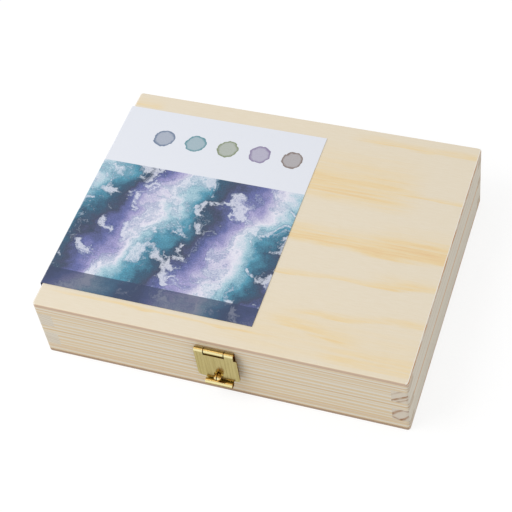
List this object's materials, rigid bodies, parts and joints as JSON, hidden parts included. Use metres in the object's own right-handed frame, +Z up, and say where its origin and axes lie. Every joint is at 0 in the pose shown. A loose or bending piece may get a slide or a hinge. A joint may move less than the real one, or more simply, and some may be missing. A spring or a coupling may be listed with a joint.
{
  "type": "wooden watercolor box",
  "caption": "Shallow finger-jointed pine box with a hinged plywood-topped lid, brass front catch, printed card on the lid and bays of paint tubes",
  "frame": {"origin": "centre of the underside of the closed box, on the surface it stands on", "axes": "+X to the right along the front, +Y from the front to the back, +Z up"},
  "size_m": [0.1812, 0.151, 0.0384],
  "materials": {
    "faced_plywood": "fine-sanded rotary-cut veneer, unvarnished",
    "pine_board": "planed and sanded softwood, unvarnished",
    "divider_plywood": "sanded thin plywood",
    "printed_card": "coated white card with a printed wash",
    "brass_sheet": "satin, brushed along the height, lacquered",
    "turned_brass": "turned and polished",
    "brass_nails": "struck round heads, plain",
    "tube_metal": "white enamel over soft drawn metal, bare at the crimp",
    "cap_plastic": "moulded, matt"
  },
  "bodies": {
    "case": {"base_panel": "faced_plywood", "base_front_board": "pine_board", "base_back_board": "pine_board", "base_left_board": "pine_board", "base_right_board": "pine_board", "tube_divider_1": "divider_plywood", "tube_divider_2": "divider_plywood", "tube_divider_3": "divider_plywood", "tube_divider_4": "divider_plywood", "paint_tube_1": "tube_metal", "paint_tube_2": "tube_metal", "paint_tube_3": "tube_metal", "paint_tube_4": "tube_metal", "paint_tube_5": "tube_metal", "catch_keeper": "brass_sheet", "catch_stud": "turned_brass", "keeper_nails": "brass_nails", "left_hinge_base_leaf": "brass_sheet", "right_hinge_base_leaf": "brass_sheet", "left_hinge_pin": "turned_brass", "right_hinge_pin": "turned_brass", "hinge_base_nails": "brass_nails"},
    "lid": {"lid_panel": "faced_plywood", "lid_front_board": "pine_board", "lid_back_board": "pine_board", "lid_left_board": "pine_board", "lid_right_board": "pine_board", "label_card": "printed_card", "catch_leaf": "brass_sheet", "catch_pin": "turned_brass", "catch_leaf_nails": "brass_nails", "left_hinge_lid_leaf": "brass_sheet", "right_hinge_lid_leaf": "brass_sheet", "hinge_lid_nails": "brass_nails"},
    "catch_flap": {"catch_flap": "brass_sheet"},
    "tube_cap_1": {"tube_cap_1": "cap_plastic"},
    "tube_cap_2": {"tube_cap_2": "cap_plastic"},
    "tube_cap_3": {"tube_cap_3": "cap_plastic"},
    "tube_cap_4": {"tube_cap_4": "cap_plastic"},
    "tube_cap_5": {"tube_cap_5": "cap_plastic"}
  },
  "joints": [
    {"name": "lid_hinge", "type": "hinge", "parent": "case", "child": "lid", "pos_m": [0, 0.0724, 0.019], "axis": [-1, 0, 0], "range_deg": [0, 178]},
    {"name": "catch_flap_hinge", "type": "hinge", "parent": "lid", "child": "catch_flap", "pos_m": [0.0013, -0.0722, 0.0328], "axis": [-1, 0, 0], "range_deg": [0, 170]},
    {"name": "tube_cap_1_turn", "type": "hinge", "parent": "case", "child": "tube_cap_1", "pos_m": [-0.0668, -0.0435, 0.01245], "axis": [0, -1, 0], "continuous": true},
    {"name": "tube_cap_2_turn", "type": "hinge", "parent": "case", "child": "tube_cap_2", "pos_m": [-0.0334, -0.0435, 0.01245], "axis": [0, -1, 0], "continuous": true},
    {"name": "tube_cap_3_turn", "type": "hinge", "parent": "case", "child": "tube_cap_3", "pos_m": [0, -0.0435, 0.01245], "axis": [0, -1, 0], "continuous": true},
    {"name": "tube_cap_4_turn", "type": "hinge", "parent": "case", "child": "tube_cap_4", "pos_m": [0.0334, -0.0435, 0.01245], "axis": [0, -1, 0], "continuous": true},
    {"name": "tube_cap_5_turn", "type": "hinge", "parent": "case", "child": "tube_cap_5", "pos_m": [0.0668, -0.0435, 0.01245], "axis": [0, -1, 0], "continuous": true}
  ]
}
